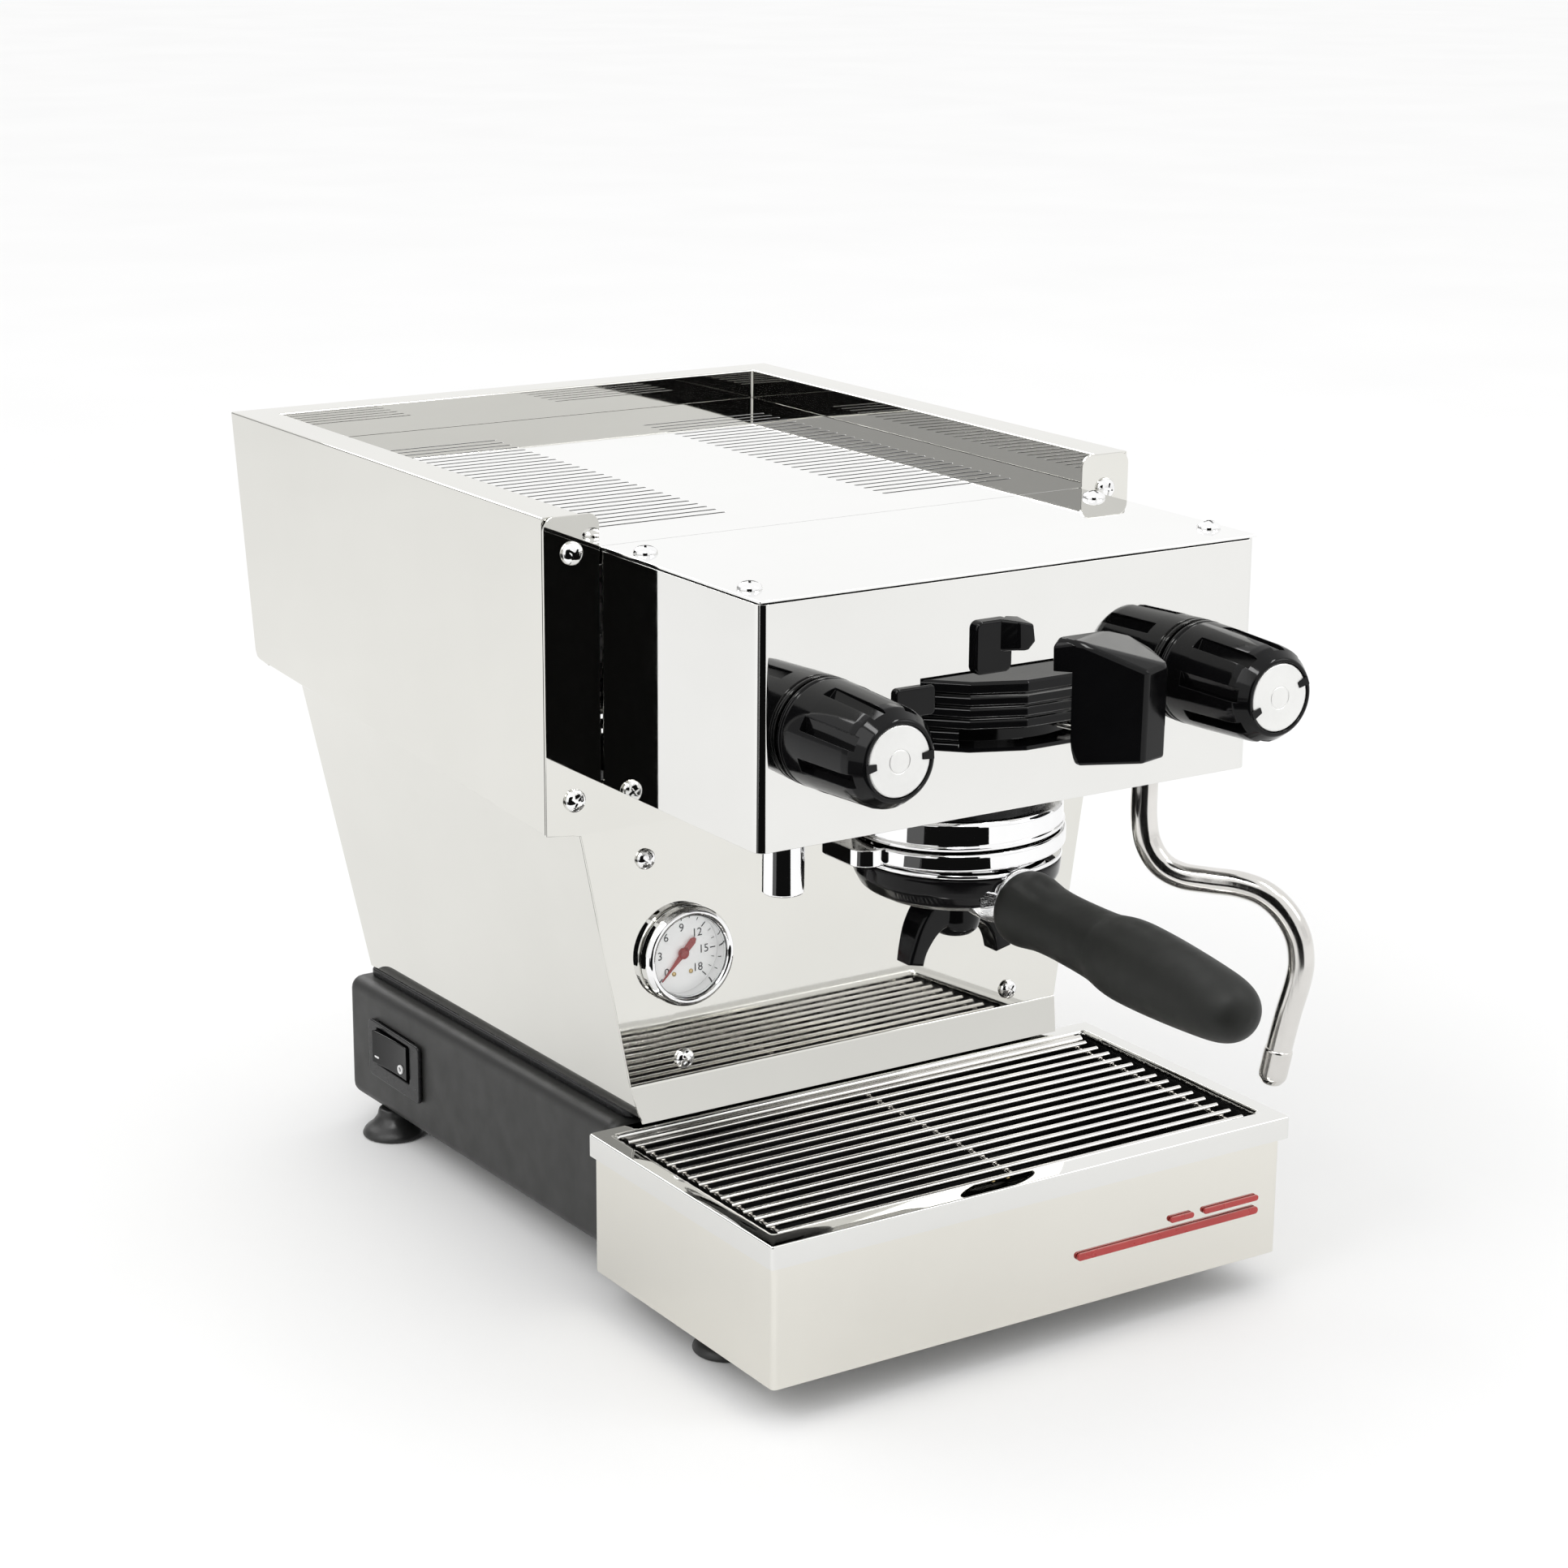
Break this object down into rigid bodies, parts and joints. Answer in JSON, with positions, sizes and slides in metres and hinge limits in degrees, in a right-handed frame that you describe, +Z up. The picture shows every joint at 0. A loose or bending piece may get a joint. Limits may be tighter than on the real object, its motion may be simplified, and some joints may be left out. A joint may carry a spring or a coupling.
{
  "type": "espresso machine",
  "caption": "Polished steel espresso machine with brew group, portafilter, paddle, steam wand, valve knobs, gauges, cup tray and drip tray on a black base.",
  "frame": {"origin": "on the worktop plane under the centre of the overall bounding box", "axes": "+Z up; the front, with the portafilter's handle, faces -Y; +X is to the right seen from the front"},
  "size_m": [0.3266, 0.6218, 0.377],
  "materials": {
    "polished_steel": "mirror polished stainless steel sheet",
    "satin_steel": "satin stainless steel",
    "chrome": "bright chrome",
    "brass": "cast brass",
    "black_paint": "satin black powder coat",
    "foot_rubber": "black rubber",
    "gloss_black": "gloss black moulded plastic",
    "handle_grip": "matt black grip",
    "knob_disc": "bright satin disc",
    "dial_white": "white dial",
    "red_trim": "red",
    "gauge_glass": "clear",
    "dark_plastic": "black",
    "boiler_metal": "dull metal",
    "tank_plastic": "translucent white"
  },
  "bodies": {
    "machine": {"lower_side_panel_left": "polished_steel", "lower_side_panel_right": "polished_steel", "lower_rear_panel": "polished_steel", "upper_shell": "polished_steel", "front_panel": "polished_steel", "head_cover": "polished_steel", "head_top_plate": "polished_steel", "head_floor": "satin_steel", "shower_screen": "satin_steel", "ear_screw_upper_left": "chrome", "ear_screw_lower_left": "chrome", "ear_screw_upper_right": "chrome", "ear_screw_lower_right": "chrome", "group_ring": "chrome", "wand_nut": "chrome", "hot_water_spout": "chrome", "brew_gauge_case": "chrome", "steam_gauge_case": "chrome", "group_body": "brass", "steam_valve": "brass", "water_valve": "brass", "rotary_pump": "brass", "base_chassis": "black_paint", "plinth_strip": "black_paint", "foot_rear_left": "foot_rubber", "foot_rear_right": "foot_rubber", "foot_front_left": "foot_rubber", "foot_front_right": "foot_rubber", "group_cap": "gloss_black", "cap_tab": "gloss_black", "brew_gauge_dial": "dial_white", "steam_gauge_dial": "dial_white", "brew_gauge_glass": "gauge_glass", "steam_gauge_glass": "gauge_glass", "switch_bezel": "dark_plastic", "mains_inlet": "dark_plastic", "pump_motor": "dark_plastic", "control_box": "dark_plastic", "coffee_boiler": "boiler_metal", "steam_boiler": "boiler_metal", "water_tank": "tank_plastic"},
    "portafilter": {"portafilter_body": "chrome", "filter_basket": "satin_steel", "portafilter_handle": "handle_grip", "double_spout": "gloss_black"},
    "brew_paddle": {"brew_paddle": "gloss_black"},
    "steam_knob": {"steam_knob": "gloss_black", "steam_knob_disc": "knob_disc"},
    "water_knob": {"water_knob": "gloss_black", "water_knob_disc": "knob_disc"},
    "steam_wand": {"steam_wand": "satin_steel", "steam_tip": "satin_steel"},
    "drip_tray": {"drip_tray_cover": "polished_steel", "drip_basin": "polished_steel", "front_badge": "red_trim"},
    "drip_grate": {"drip_grate": "satin_steel"},
    "cup_tray": {"cup_tray": "polished_steel"},
    "switch_rocker": {"switch_rocker": "dark_plastic"},
    "brew_gauge_needle": {"brew_gauge_needle": "red_trim"},
    "steam_gauge_needle": {"steam_gauge_needle": "red_trim"}
  },
  "joints": [
    {"name": "portafilter_twist", "type": "hinge", "parent": "machine", "child": "portafilter", "pos_m": [0, -0.106, 0.225], "axis": [0, 0, 1], "range_deg": [-45, 0]},
    {"name": "paddle_swing", "type": "hinge", "parent": "machine", "child": "brew_paddle", "pos_m": [0, -0.1095, 0.292], "axis": [0, 0, 1], "range_deg": [-50, 0]},
    {"name": "steam_knob_turn", "type": "hinge", "parent": "machine", "child": "steam_knob", "pos_m": [0.102, -0.168, 0.3015], "axis": [0, -1, 0], "range_deg": [0, 270]},
    {"name": "water_knob_turn", "type": "hinge", "parent": "machine", "child": "water_knob", "pos_m": [-0.102, -0.168, 0.3015], "axis": [0, -1, 0], "range_deg": [0, 270]},
    {"name": "wand_swivel", "type": "hinge", "parent": "machine", "child": "steam_wand", "pos_m": [0.103, -0.113, 0.25], "axis": [0, 0, 1], "range_deg": [-55, 50]},
    {"name": "drip_tray_slide", "type": "slide", "parent": "machine", "child": "drip_tray", "axis": [0, -1, 0], "range_m": [0, 0.16]},
    {"name": "grate_lift", "type": "slide", "parent": "drip_tray", "child": "drip_grate", "axis": [0, 0, 1], "range_m": [0, 0.03]},
    {"name": "cup_tray_lift", "type": "slide", "parent": "machine", "child": "cup_tray", "axis": [0, 0, 1], "range_m": [0, 0.04]},
    {"name": "switch_rock", "type": "hinge", "parent": "machine", "child": "switch_rocker", "pos_m": [-0.1305, 0.204, 0.05375], "axis": [0, 0, 1], "range_deg": [-7, 0]},
    {"name": "brew_needle_turn", "type": "hinge", "parent": "machine", "child": "brew_gauge_needle", "pos_m": [-0.093, -0.02059, 0.165], "axis": [0, 0.9992, -0.0405], "range_deg": [0, 270], "stiffness_Nm_per_rad": 0.0001},
    {"name": "steam_needle_turn", "type": "hinge", "parent": "machine", "child": "steam_gauge_needle", "pos_m": [0.093, -0.02059, 0.165], "axis": [0, 0.9992, -0.0405], "range_deg": [0, 270], "stiffness_Nm_per_rad": 0.0001}
  ]
}
